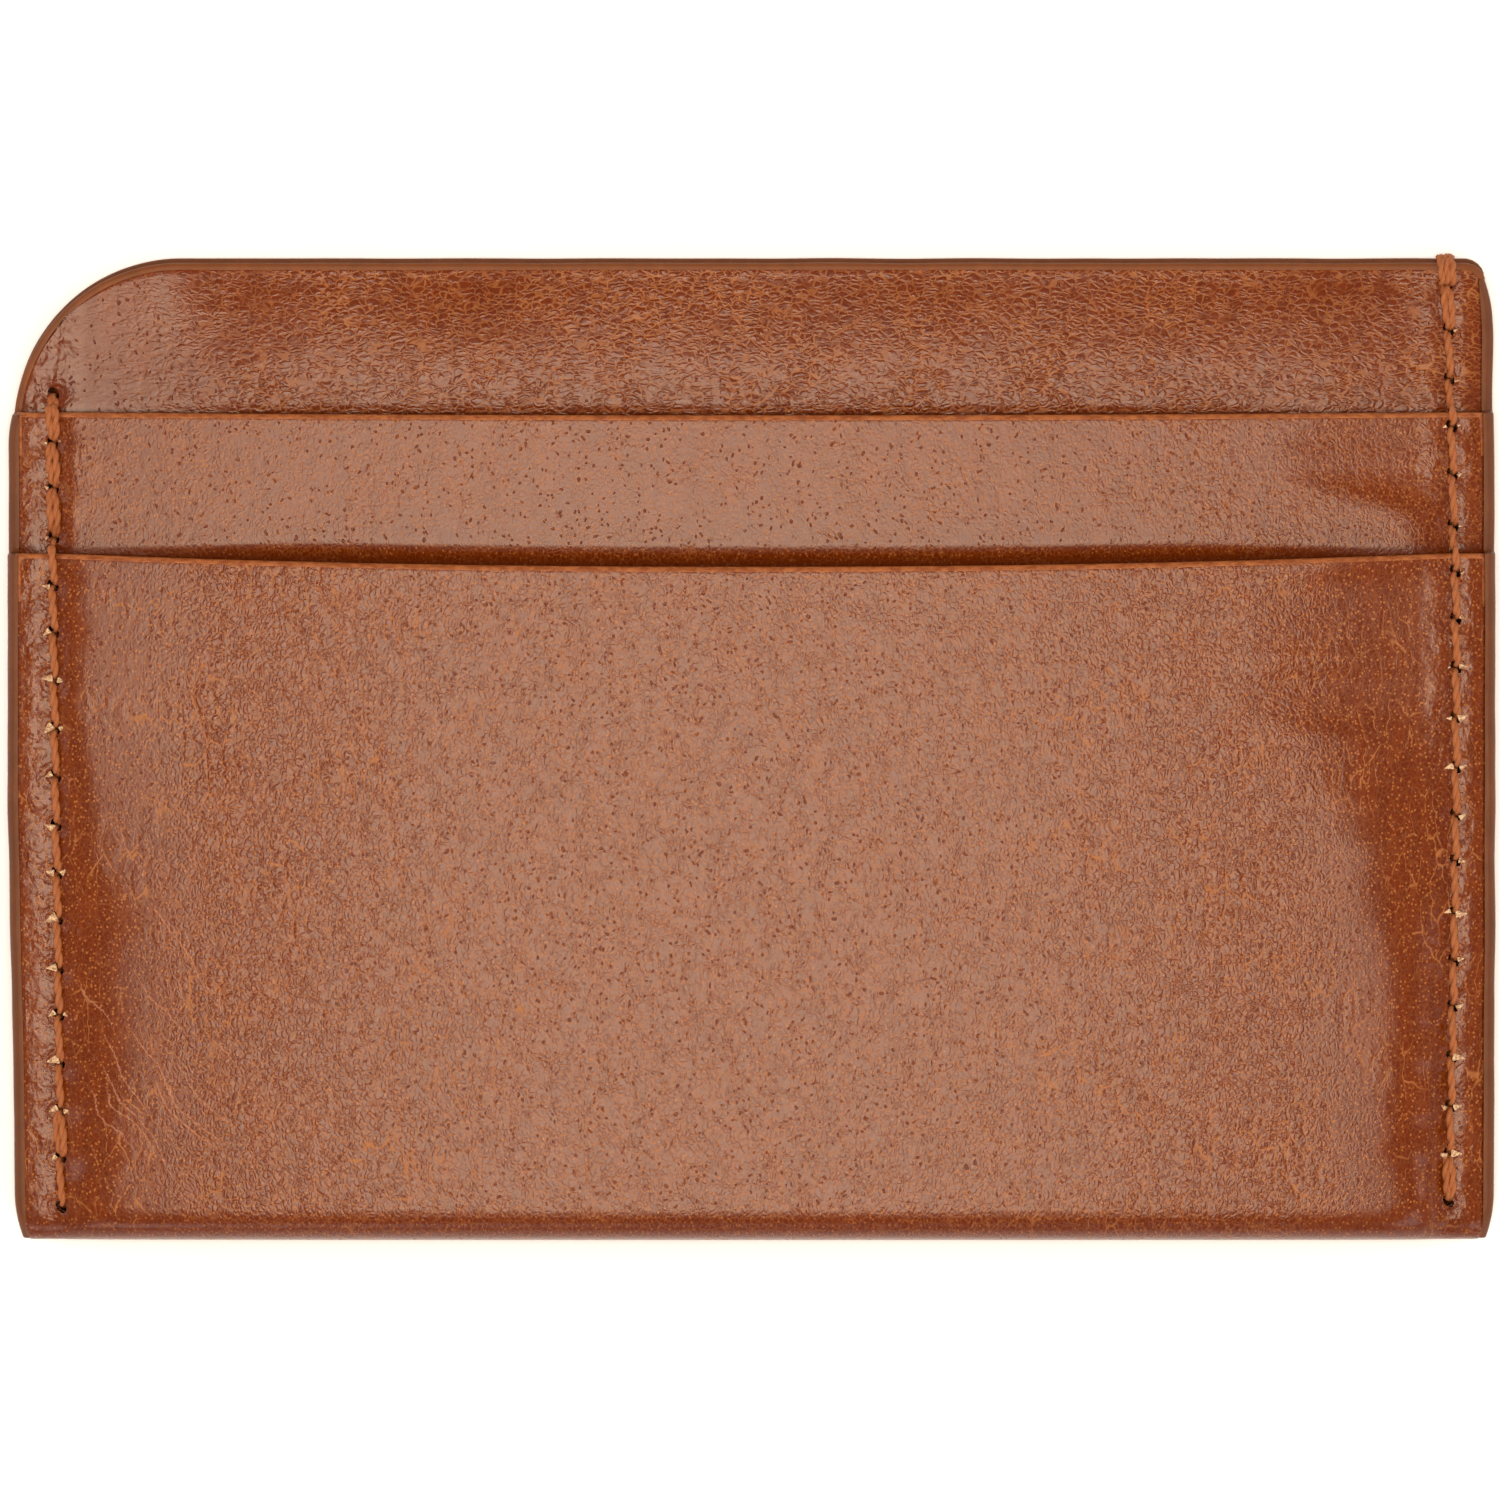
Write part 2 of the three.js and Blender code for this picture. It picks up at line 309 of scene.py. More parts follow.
def roundRim(bm, rim, width, segments=3):
    return bmesh.ops.bevel(
        bm, geom=rim, offset=width * mm, affect="EDGES", segments=segments, profile=0.5, material=-1
    )["faces"]


def burnish(faces, above):
    for face in faces:
        at = face.calc_center_median() / mm
        if at.y - foldY > above and at.z > 2.5:
            face.material_index = 1


def finishPiece(bm, name, materials, nodes, sharp=50):
    mesh = bpy.data.meshes.new(name)
    bm.to_mesh(mesh)
    bm.free()
    mesh.shade_smooth()
    mesh.set_sharp_from_angle(angle=math.radians(sharp))
    piece = bpy.data.objects.new(name, mesh)
    bpy.context.collection.objects.link(piece)
    for material in materials:
        mesh.materials.append(material)
    if nodes:
        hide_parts(*nodes)
    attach(piece, "root")
    print("made", name, len(mesh.polygons), "faces")
    return piece


def edgeX(side, h):
    if side < 0:
        x = outline["left"] - outline["taper"] * smooth((outline["taperBelow"] - h) / outline["taperBelow"])
    else:
        x = outline["right"] - outline["rightTuck"] * smooth((h - outline["rightTuckFrom"]) / 6)
    x += outline["wander"] * wobble(side * 10, h, 9.0)
    return x - outline["foldTuck"] * clamp((outline["foldTuckBelow"] - h) / outline["foldTuckBelow"]) ** 2


def acrossPanel(u, h):
    # columns crowd together towards the seams, where the shapes are small
    bend = 1.05
    t = math.sin((2 * u - 1) * bend) / math.sin(bend)
    return t * (edgeX(-1, h) if t < 0 else edgeX(1, h))


def roundedOff(x, h, top):
    for side, radius in ((-1, outline["corner"]), (1, outline["topCorner"])):
        limit = edgeX(side, h) - radius
        a = (side * x - limit) / radius
        b = (h - (top - radius)) / radius
        if a > 0 and b > 0:
            newA, newB = a * math.sqrt(1 - b * b / 2), b * math.sqrt(1 - a * a / 2)
            return side * (limit + newA * radius), top - radius + newB * radius
    return x, h


def buildInner():
    def place(u, v, outer):
        h = mix(innerFrom, outline["innerTop"], v)
        x, h = roundedOff(acrossPanel(u, h), h, outline["innerTop"])
        if not outer:
            return spot(x, h, innerUnderside(x, h))
        z = innerFace(x, h)
        if h > mouths["middle"]["seam"] - 2:
            z = puckered(x, h, z)
        return spot(x, h, z)

    bm, rim = slab(150, 120, place)
    roundRim(bm, rim, lip["rim"])
    return bm


def buildMiddle():
    def place(u, v, outer):
        h = mix(middleBody["from"], mouths["middle"]["seam"], v)
        x = acrossPanel(u, h)
        h = loweredToMouth(mouths["middle"], x, h)
        z = middleFace(x, h)
        if h > mouths["front"]["seam"] - 2 and outer:
            z = puckered(x, h, z)
        return spot(x, h, z - (0 if outer else stack["leather"]))

    def outsideT(u, v):
        h = mix(middleBody["from"], mouths["middle"]["seam"], v)
        return abs(acrossPanel(u, h)) > middleBody["half"] and h < middleBody["earFrom"]

    bm, rim = slab(150, 96, place, outsideT)
    upper = [e for e in rim if e.verts[0].co.y / mm - foldY > 45]
    burnish(roundRim(bm, upper, lip["radius"], 4), 54)
    return bm


def buildShell():
    backLength = outline["backTop"] - 2
    frontLength = mouths["front"]["seam"] - 2
    total = backLength + fold["length"] + frontLength

    def place(u, v, outer):
        run = v * total
        top = outline["backTop"]
        if run < backLength:
            h = top - run * (top - fold["reach"]) / backLength
            x, h = roundedOff(acrossPanel(u, h), h, top)
            return spot(x, h, backFace(x, h) if outer else stack["leather"])
        if run < backLength + fold["length"]:
            turn = math.pi * (run - backLength) / fold["length"]
            x = acrossPanel(u, fold["reach"])
            thick = frontFace(x, 0)
            wall = 0 if outer else stack["leather"]
            h = fold["reach"] - (fold["reach"] - wall * 0.8) * math.sin(turn) ** fold["square"]
            x = acrossPanel(u, max(0, h))
            return spot(x, h, thick / 2 - (thick / 2 - wall) * math.cos(turn))
        part = (run - backLength - fold["length"]) / frontLength
        h = mix(fold["reach"], mouths["front"]["seam"], part)
        x = acrossPanel(u, h)
        h = loweredToMouth(mouths["front"], x, h)
        z = frontFace(x, h)
        if outer:
            z = puckered(x, h, z)
        return spot(x, h, z - (0 if outer else stack["leather"]))

    bm, rim = slab(150, 214, place)
    burnish(roundRim(bm, rim, lip["radius"], 4), 44)
    return bm


def backFace(x, h):
    seam = seams["left"] if x < 0 else seams["right"]
    inRow = smooth((h - seam["bottom"] + groove["past"]) / groove["fade"])
    if x < 0:
        inRow *= smooth((seam["top"] + groove["past"] - h) / groove["fade"])
    across = abs(x - seamX(seam, h)) / groove["half"]
    return groove["depth"] * inRow * (1 - smooth(across))


class Wire:
    def __init__(self, finish, socket):
        self.finish, self.socket = finish, socket

    def maths(self, operation, *others, first=None):
        values = ([first] if first is not None else []) + [self, *others]
        return self.finish.node("ShaderNodeMath", {"operation": operation}, dict(enumerate(values))).out()

    def __add__(self, other):
        return self.maths("ADD", other)

    def __mul__(self, other):
        return self.maths("MULTIPLY", other)

    def __sub__(self, other):
        return self.maths("SUBTRACT", other)

    def __truediv__(self, other):
        return self.maths("DIVIDE", other)

    def __pow__(self, other):
        return self.maths("POWER", other)

    def __rsub__(self, other):
        return self.maths("SUBTRACT", first=other)

    __radd__ = __add__
    __rmul__ = __mul__


class Finish:
    def __init__(self, name):
        self.material = bpy.data.materials.new(name)
        self.material.use_nodes = True
        self.tree = self.material.node_tree
        self.tree.nodes.clear()

    def node(self, kind, settings, sockets):
        made = self.tree.nodes.new(kind)
        for key, value in settings.items():
            setattr(made, key, value)
        for key, value in sockets.items():
            if isinstance(value, Wire):
                self.tree.links.new(value.socket, made.inputs[key])
            else:
                made.inputs[key].default_value = value
        return NodeOuts(self, made)

    def object(self):
        co = self.node("ShaderNodeTexCoord", {}, {}).out("Object")
        return self.node("ShaderNodeVectorMath", {"operation": "SCALE"}, {0: co, "Scale": 1000.0}).out()

    def stretch(self, vector, factors, turn=0.0):
        sockets = {0: vector, "Scale": factors, "Rotation": (0, 0, turn)}
        return self.node("ShaderNodeMapping", {"vector_type": "POINT"}, sockets).out()

    def noise(self, vector, scale, detail=3.0, roughness=0.55, output=0):
        sockets = {"Vector": vector, "Scale": scale, "Detail": detail, "Roughness": roughness}
        return self.node("ShaderNodeTexNoise", {}, sockets).out(output)

    def cells(self, vector, scale, feature="F1"):
        sockets = {"Vector": vector, "Scale": scale, "Randomness": 1.0}
        return self.node("ShaderNodeTexVoronoi", {"feature": feature}, sockets).out("Distance")

    def ease(self, value, low, high, toLow=0.0, toHigh=1.0):
        sockets = {0: value, 1: low, 2: high, 3: toLow, 4: toHigh}
        return self.node("ShaderNodeMapRange", {"interpolation_type": "SMOOTHSTEP"}, sockets).out()

    def blend(self, factor, a, b):
        settings = {"data_type": "RGBA", "blend_type": "MIX"}
        return self.node("ShaderNodeMix", settings, {0: factor, 6: a, 7: b}).out(2)

    def bump(self, height, distance):
        sockets = {"Height": height, "Distance": distance * mm, "Strength": 1.0}
        return self.node("ShaderNodeBump", {}, sockets).out()

    def shade(self, **sockets):
        named = {key.replace("_", " "): value for key, value in sockets.items()}
        surface = self.node("ShaderNodeBsdfPrincipled", {}, named).out("BSDF")
        self.node("ShaderNodeOutputMaterial", {}, {"Surface": surface})
        return self.material


class NodeOuts:
    def __init__(self, finish, node):
        self.finish, self.node = finish, node

    def out(self, which=0):
        return Wire(self.finish, self.node.outputs[which])


def rgb(*parts):
    # a screen colour as the linear light that a shader takes
    return (*(((c / 255 + 0.055) / 1.055) ** 2.4 if c > 10 else c / 3295 for c in parts), 1.0)


leatherLook = {
    "base": rgb(101, 38, 2),
    "deep": rgb(92, 32, 1),
    "fleck": rgb(160, 94, 40),
    # the pores' dark colour, also used as the painted shade above the mouths and at the fold
    "poreAndShade": rgb(78, 27, 3),
    "crease": rgb(154, 92, 44),
    "roughness": 0.22,
    "waveDepth": 0.03,
    "swellDepth": 0.014,
    "pebbleDepth": 0.011,
    "fineDepth": 0.003,
    "poreDepth": 0.019,
    "fleckDepth": 0.003,
    "wrinkleDepth": 0.14,
    "ringDepth": 0.012,
    "scarDepth": 0.012,
    "earScarDepth": 0.03,
    "foldShade": 0.4,
    "mouthShade": 0.75,
    # each crease: how far off along the lean, and between which places along it
    "creases": [
        (-26.4, -37.0, -24.2), (-26.9, -33.0, -25.0), (-29.7, -36.0, -25.4), (-30.2, -34.5, -27.5),
        (-20.6, -43.0, -33.5), (-27.6, -41.5, -36.2), (-25.2, -33.0, -25.6), (-18.2, -38.5, -35.0),
        (-28.6, -37.5, -27.0), (-31.2, -35.0, -29.0), (-23.8, -40.0, -33.0), (-22.4, -34.0, -29.0),
    ],
    "creaseLean": math.radians(55),
    "earCreases": [
        (-39.3, -62.5, -55.8), (-38.95, -62.3, -56.5), (-38.6, -62.3, -57.3), (-38.2, -61.5, -57.8),
        (-37.85, -61.0, -59.0),
    ],
    "earLean": math.radians(82),
    # pale pinkish colour of the crease lines: a painted highlight along real creases
    "scarAndHighlight": rgb(170, 112, 80),
}
# For each panel: two nets of fine creases (cells per millimetre, line width, how clear, how stretched),
# the rest of its grain, and the mouth in front of it with how far above its lip the shade reaches.
grain = {
    "front": {
        "coarse": (0.6, 0.06, 0.9), "fine": (2.9, 0.05, 0.36),
        "coarseStretch": (1.6, 0.5, 0.2), "fineStretch": (1.15, 0.8, 0.2),
        "deep": 0.022, "flecks": 0.9, "pores": 0.9, "mouth": None,
    },
    "middle": {
        "coarse": (0.8, 0.05, 0.12), "fine": (2.9, 0.05, 0.4),
        "coarseStretch": (1.1, 0.85, 0.2), "fineStretch": (1.1, 0.85, 0.2),
        "deep": 0.013, "flecks": 0.75, "pores": 1.0, "mouth": "front", "shadeReach": 1.0,
    },
    "inner": {
        "coarse": (0.85, 0.05, 0.35), "fine": (2.1, 0.055, 0.7),
        "coarseStretch": (0.7, 1.45, 0.2), "fineStretch": (0.7, 1.45, 0.2),
        "deep": 0.039, "flecks": 0.35, "pores": 1.0, "mouth": "middle", "shadeReach": 0.4,
    },
}


def mouthShade(f, x, y, mouth, wide):
    # painted shade: the leather's colour darkens where it goes down behind the next panel's mouth
    reach = (x.maths("ABSOLUTE") * (1 / sagging["reach"])).maths("MINIMUM", 1.0) ** sagging["power"]
    gap = y - (foldY + mouth["seam"]) + mouth["sag"] * (1 - reach)
    return f.ease(gap, wide, wide * 0.25)


def seamWrinkles(f, x, y, fine):
    # rings in the leather around each stitch hole
    total = 0
    for seam in seams.values():
        pitch = (seam["top"] - seam["bottom"]) / (seam["holes"] - 1)
        across = x * seam["side"] - seam["x"] + seam["lean"] * 0.5
        phase = (y - (foldY + seam["bottom"])) / pitch + 0.5
        along = (phase.maths("FRACT") - 0.5) * pitch
        reach = (across * across + along * along * 1.3).maths("SQRT") + fine * 0.5
        rings = (reach * 14.0).maths("SINE") * f.ease(reach, 1.9, 0.5)
        rings = rings * f.ease(y, foldY + seam["top"] + 1.8, foldY + seam["top"] + 1.3)
        total = rings + total
    return total


def creaseLines(f, spread, fine, creases, slant):
    # old scars that all lean one way, kept off the back by their height
    x, y, z = (spread.out(axis) for axis in "XYZ")
    h = y - foldY
    sway = f.noise(f.object(), 0.22, 1.0)
    off = x * math.sin(slant) + h * math.cos(slant) + fine * 0.4 + (sway - 0.5) * 2.4
    run = x * math.cos(slant) - h * math.sin(slant)
    total = 0
    for at, start, end in creases:
        line = f.ease((off - (at + 0.25)).maths("ABSOLUTE"), 0.085, 0.015)
        total = line * f.ease(run, start, start + 1.5) * f.ease(run, end, end - 3.0) + total
    return total * f.ease(z, 2.0, 2.5)


def swayedPlace(f, p):
    # the place, pushed about sideways so that no line runs straight
    swayed = p
    for scale, reach in ((0.6, 1.1), (2.2, 0.12)):
        sockets = {0: f.noise(p, scale, 2.0, output=1), 1: (reach, reach, 0), 2: swayed}
        swayed = f.node("ShaderNodeVectorMath", {"operation": "MULTIPLY_ADD"}, sockets).out()
    return swayed


def creaseNets(f, swayed, hide, amounts):
    # lines between the cells of each net for the colour, and the rounded cells for the bump
    lines, pillows = 0, 0
    for layer, shown in amounts.items():
        size, wide, clear = hide[layer]
        net = f.cells(f.stretch(swayed, hide[layer + "Stretch"]), size, "DISTANCE_TO_EDGE")
        lines = f.ease(net, wide * size, 0.1 * wide * size) * shown * clear + lines
        pillows = f.ease(net, 0.0, 0.3) * shown * min(1 / size, 0.6) + pillows
    return lines, pillows


def leatherFinish(name, panel):
    look, hide = leatherLook, grain[panel]
    f = Finish(name)
    p = f.object()
    split = f.node("ShaderNodeSeparateXYZ", {}, {0: p})
    x, y = split.out("X"), split.out("Y")
    aside = x.maths("ABSOLUTE")
    swayed = swayedPlace(f, p)
    waves = f.noise(f.stretch(p, (1.0, 0.75, 1.0)), 0.09, 2.0)
    swells = f.noise(f.stretch(p, (1.0, 0.8, 1.0)), 0.3, 2.0)
    pebbles = f.noise(f.stretch(swayed, hide["fineStretch"]), 1.3, 2.0)
    streaks = f.noise(f.stretch(swayed, (1.3, 0.3, 1.0)), 0.8, 2.0)
    fine = f.noise(p, 3.4, 3.0, 0.6)
    specks = f.noise(p, 1.9, 2.0, 0.6)
    patches = f.ease(f.noise(p, 0.2, 3.0), 0.42, 0.66)
    broken = f.ease(f.noise(p, 1.2, 2.0), 0.32, 0.52)

    # where this panel's creases are strong: the front is smooth in the middle and where it rolls over its
    # sides, and the inner panel is calm in its rounded corner
    amounts, relief, poreShown = {}, 1.0, f.ease(streaks + fine * 0.4, 0.46, 0.7)
    if panel == "front":
        rolled = f.ease(aside, 36.0, 43.0, 1.0, 0.5)
        amounts["coarse"] = broken * patches * f.ease(aside, 6.0, 26.0, 0.25, 1.0)
        amounts["fine"] = (broken * 0.5 + 0.5) * rolled
        relief = f.ease(aside, 16.0, 38.0, 1.0, 1.65) * rolled
    elif panel == "middle":
        amounts["coarse"] = broken * patches
        amounts["fine"] = broken * 0.5 + (patches * 0.3 + 0.2)
        relief = f.ease(x, 16.0, 38.0, 1.0, 1.65)
    else:
        calm = f.ease(x, -46.0, -30.0, 0.15, 1.0)
        amounts["coarse"] = broken * patches * calm
        amounts["fine"] = (broken * 0.5 + (patches * 0.3 + 0.2)) * calm
        poreShown = (poreShown + (1 - calm) * 0.8).maths("MINIMUM", 1.0)
    lines, pillows = creaseNets(f, swayed, hide, amounts)
    dots = f.ease(f.cells(f.stretch(p, (1.0, 0.9, 0.2)), 3.6), 0.36, 0.13)
    flecks = dots * f.ease(specks, 0.2, 0.55) * hide["flecks"]
    poreDots = f.ease(f.cells(f.stretch(swayed, (1.0, 0.8, 0.2)), 2.3), 0.24, 0.1)
    pores = poreDots * poreShown * hide["pores"]

    height = waves * look["waveDepth"] + fine * look["fineDepth"]
    height = height + swells * look["swellDepth"] + pebbles * look["pebbleDepth"]
    height = height - pores * look["poreDepth"] - flecks * look["fleckDepth"]
    height = height + pillows * relief * hide["deep"]
    ripples = f.noise(f.stretch(swayed, (1.0, 0.8, 1.0)), 0.85, 2.0)
    height = height + f.ease(aside, 45.8, 47.6) * ripples * look["wrinkleDepth"]
    height = height + seamWrinkles(f, x, y, fine) * look["ringDepth"]

    colour = f.blend(f.ease(streaks, 0.35, 0.65), look["deep"], look["base"])
    colour = f.blend(flecks, colour, look["fleck"])
    colour = f.blend(pores * 0.75, colour, look["poreAndShade"])
    colour = f.blend(lines.maths("MINIMUM", 0.95), colour, look["crease"])
    roughness = look["roughness"] + flecks * 0.12 + pores * 0.2 + lines * 0.2
    # painted shade above the mouth in front, blended towards the dark pore colour
    if hide["mouth"]:
        shade = mouthShade(f, x, y, mouths[hide["mouth"]], hide["shadeReach"])
        colour = f.blend(shade * look["mouthShade"], colour, look["poreAndShade"])
    if panel == "middle":
        creases = creaseLines(f, split, fine, look["earCreases"], look["earLean"])
        height = height - creases * look["earScarDepth"]
    if panel == "front":
        # painted shade: the front's colour darkens towards the fold, where its surface turns away from the
        # light
        foldPaintedShade = f.ease(y, foldY + 2.4, foldY + 1.0, 0.0, look["foldShade"])
        colour = f.blend(foldPaintedShade, colour, look["poreAndShade"])
        creases = creaseLines(f, split, fine, look["creases"], look["creaseLean"])
        # the crease lines are real marks with a bump, and their pale pinkish colour is a painted highlight
        # along them
        colour = f.blend((creases * 0.55).maths("MINIMUM", 0.6), colour, look["scarAndHighlight"])
        height = height + creases * look["scarDepth"]
    normal = f.bump(height, 1.0)
    return f.shade(Base_Color=colour, Roughness=roughness, Normal=normal, Specular_IOR_Level=0.2)


plainLooks = {
    "lip": {
        "name": "burnished_lip", "dark": rgb(124, 60, 18), "light": rgb(158, 90, 44), "spread": (0.35, 0.65),
        "stretch": (0.5, 1.0, 1.0), "scale": 3.0, "detail": 4.0, "grit": 0.65,
        "roughness": 0.45, "bump": 0.04, "shine": 0.3,
    },
    "thread": {
        "name": "waxed_thread", "dark": rgb(118, 60, 28), "light": rgb(182, 108, 60),
        "stretch": (1.0, 0.3, 1.0), "turn": 0.5, "scale": 6.0, "detail": 4.0, "grit": 0.75,
        "roughness": 0.75, "bump": 0.05, "shine": 0.3,
    },
    "paint": {
        "name": "edge_paint", "dark": rgb(80, 42, 18), "light": rgb(108, 57, 25),
        "stretch": (1.0, 0.5, 1.0), "scale": 0.9, "detail": 3.0, "grit": 0.55,
        "roughness": 0.45, "bump": 0.08, "shine": 0.2,
    },
    # a lighter copy of the edge paint for the inner panel's top rim: painted light, so the rim looks as
    # bright as a lit one
    "litRimPaint": {
        "name": "edge_paint_lit_copy", "dark": rgb(93, 49, 20), "light": rgb(125, 66, 27),
        "stretch": (1.0, 0.5, 1.0), "scale": 0.9, "detail": 3.0, "grit": 0.55,
        "roughness": 0.45, "bump": 0.08, "shine": 0.2,
    },
    "fibre": {
        "name": "raw_fibre", "dark": rgb(128, 76, 42), "light": rgb(232, 198, 156), "spread": (0.3, 0.7),
        "scale": 5.0, "detail": 4.0, "grit": 0.7,
        "roughness": 0.9, "bump": 0.1, "shine": 0.2,
    },
    # the walls of the stitch holes, painted near black: painted shade standing in for the shade inside the
    # slits
    "hole": {
        "name": "hole_wall_painted_shade", "dark": rgb(38, 16, 8), "light": rgb(96, 48, 24), "spread": (0.35, 0.75),
        "scale": 4.0, "detail": 4.0, "grit": 0.7,
        "roughness": 0.9, "bump": 0.1, "shine": 0.1,
    },
}


def plainFinish(look):
    # two colours mixed by a noise, which also makes the bump
    f = Finish(look["name"])
    p = f.object()
    if "stretch" in look:
        p = f.stretch(p, look["stretch"], look.get("turn", 0.0))
    lumps = f.noise(p, look["scale"], look["detail"], look["grit"])
    factor = f.ease(lumps, *look["spread"]) if "spread" in look else lumps
    return f.shade(
        Base_Color=f.blend(factor, look["dark"], look["light"]),
        Roughness=look["roughness"],
        Normal=f.bump(lumps, look["bump"]),
        Specular_IOR_Level=look["shine"],
    )


finishes = {
    "front": leatherFinish("glazed_leather", "front"),
    "middle": leatherFinish("glazed_leather_middle", "middle"),
    "inner": leatherFinish("grained_leather", "inner"),
}
finishes.update({key: plainFinish(look) for key, look in plainLooks.items()})
print("finishes ready")

awl = {"long": 0.5, "short": 0.33, "from": 0.9, "reach": 14.0, "slant": math.radians(52)}


def turned(bm, verts, angle, axis):
    bmesh.ops.rotate(bm, cent=(0, 0, 0), matrix=Matrix.Rotation(angle, 3, axis), verts=verts)


def holeCutter():
    bm = bmesh.new()
    for seam in seams.values():
        for h in seam["stops"]:
            made = bmesh.ops.create_cone(
                bm, cap_ends=True, segments=8, radius1=1.0, radius2=1.0, depth=awl["reach"] * mm
            )["verts"]
            bmesh.ops.scale(bm, vec=(awl["long"] * mm, awl["short"] * mm, 1), verts=made)
            turned(bm, made, -awl["slant"], "Z")
            middle = awl["from"] + awl["reach"] / 2
            bmesh.ops.translate(bm, vec=spot(seamX(seam, h), h, middle), verts=made)
    mesh = bpy.data.meshes.new("awl")
    bm.to_mesh(mesh)
    bm.free()
    # the cut walls take the near-black painted-shade finish
    mesh.materials.append(finishes["hole"])
    cutter = bpy.data.objects.new("awl", mesh)
    bpy.context.collection.objects.link(cutter)
    return cutter


def punch(piece, cutter):
    cut = piece.modifiers.new("holes", "BOOLEAN")
    cut.operation, cut.solver, cut.object = "DIFFERENCE", "EXACT", cutter
    cut.material_mode = "TRANSFER"
    graph = bpy.context.evaluated_depsgraph_get()
    punched = bpy.data.meshes.new_from_object(piece.evaluated_get(graph))
    piece.modifiers.clear()
    piece.data = punched
    print("punched", piece.name)


def leatherPiece(bm, name, looks, node):
    return finishPiece(bm, name, [finishes[look] for look in looks], [node])


innerPanel = leatherPiece(buildInner(), "inner_panel_leather", ["inner"], "inner_panel")
middlePanel = leatherPiece(buildMiddle(), "middle_pocket_leather", ["middle", "lip"], "middle_pocket_panel")
shell = leatherPiece(buildShell(), "outer_shell_leather", ["front", "lip"], "outer_shell")
cutter = holeCutter()
for piece in (innerPanel, middlePanel, shell):
    punch(piece, cutter)
bpy.data.objects.remove(cutter)


threadLook = {
    "ply": 0.19, "offset": 0.11, "pitch": 2.1,  # each ply's radius, how far out it lies, and its twist
    "lift": 0.22, "plunge": 1.0, "square": 0.4,
    "lean": 0.1, "inset": 0.2, "spread": 0.22,
    "feel": 0.35,  # a stitch rests on the highest leather within this distance
    "steps": 30,
}


def stitch(start, end, base, up, shift=0.0):
    look = threadLook
    points = []
    for i in range(look["steps"] + 1):
        turn = math.pi * i / look["steps"]
        along = (1 - math.cos(turn)) / 2
        h = mix(start[1] - look["inset"], end[1] + look["inset"], along)
        x = mix(start[0] - look["lean"], end[0] + look["lean"], along) + shift * math.sin(turn)
        rest = max(base(x, h + d) for d in (-look["feel"], 0, look["feel"]))
        rise = (look["plunge"] + look["lift"]) * math.sin(turn) ** look["square"] - look["plunge"]
        points.append(Vector((x, h, rest + up * rise)))
    return points


def threadThrough(points, steps=7):
    # a smooth run of thread through a few places
    run = []
    for i in range(len(points) - 1):
        a, b, c, d = (Vector(points[min(max(k, 0), len(points) - 1)]) for k in range(i - 1, i + 3))
        for k in range(steps):
            t = k / steps
            square, cube = 2 * a - 5 * b + 4 * c - d, 3 * b - a - 3 * c + d
            run.append(0.5 * (2 * b + (c - a) * t + square * t**2 + cube * t**3))
    return run + [Vector(points[-1])]


# A strand's way over the top edge, as heights above the last hole: up the front, then down the back.
wrap = {
    "front": [(0, -0.9), (0.15, 0.05), (0.55, 0.3), (1.05, 0.26), (1.5, -0.1), (1.8, -0.8)],
    "back": [(1.82, 0.95), (1.55, 0.42), (1.0, 0.36), (0.4, 0.38), (0.05, 0.7)],
    "strands": [(-0.36, -0.46), (0.0, -0.08), (0.34, 0.26)],
}


def overTheTop(fromX, toX):
    hole = seams["right"]["top"]
    face = innerFace(fromX, hole)
    front = [(mix(fromX, toX, i / 5), hole + h, face + z) for i, (h, z) in enumerate(wrap["front"])]
    back = [(toX, hole + h, z) for h, z in wrap["back"]]
    return threadThrough(front + back)


def plies(path, phase):
    runs = [[], []]
    travelled = 0.0
    for i, point in enumerate(path):
        ahead, behind = path[min(i + 1, len(path) - 1)], path[max(i - 1, 0)]
        tangent = (ahead - behind).normalized()
        side = tangent.cross(Vector((1, 0, 0))).normalized()
        other = tangent.cross(side)
        if i:
            travelled += (point - path[i - 1]).length
        for k in (0, 1):
            turn = 2 * math.pi * travelled / threadLook["pitch"] + math.pi * k + phase
            offset = side * math.cos(turn) + other * math.sin(turn)
            runs[k].append(point + offset * threadLook["offset"])
    return runs


def threadPiece(name, paths, node):
    curve = bpy.data.curves.new(name, "CURVE")
    curve.dimensions = "3D"
    curve.bevel_depth = threadLook["ply"] * mm
    curve.bevel_resolution = 1
    curve.use_fill_caps = True
    for path in paths:
        for run in plies(path, random.uniform(0, 6)):
            spline = curve.splines.new("POLY")
            spline.points.add(len(run) - 1)
            for point, co in zip(spline.points, run):
                point.co = (*spot(*co), 1)
    holder = bpy.data.objects.new(name + "_curve", curve)
    bpy.context.collection.objects.link(holder)
    graph = bpy.context.evaluated_depsgraph_get()
    bm = bmesh.new()
    flat = bpy.data.meshes.new_from_object(holder.evaluated_get(graph))
    bm.from_mesh(flat)
    bpy.data.objects.remove(holder)
    bmesh.ops.recalc_face_normals(bm, faces=bm.faces)
    return finishPiece(bm, name, [finishes["thread"]], [node], sharp=80)


# how far a stitch stands out of what it rests on
standOut = threadLook["lift"] + threadLook["offset"] + threadLook["ply"]


def onLeather(x, h):
    return puckered(x, h, topFace(x, h))


def seamPaths(seam, doubled):
    paths = []
    stops = [(seamX(seam, h), h) for h in seam["stops"]]
    for i, (a, b) in enumerate(zip(stops, stops[1:])):
        shifts = (-threadLook["spread"], threadLook["spread"]) if i in doubled else (0.0,)
        for shift in shifts:
            paths.append(stitch(a, b, onLeather, 1, shift))
        paths.append(stitch(a, b, lambda x, h: standOut, -1))
    return paths


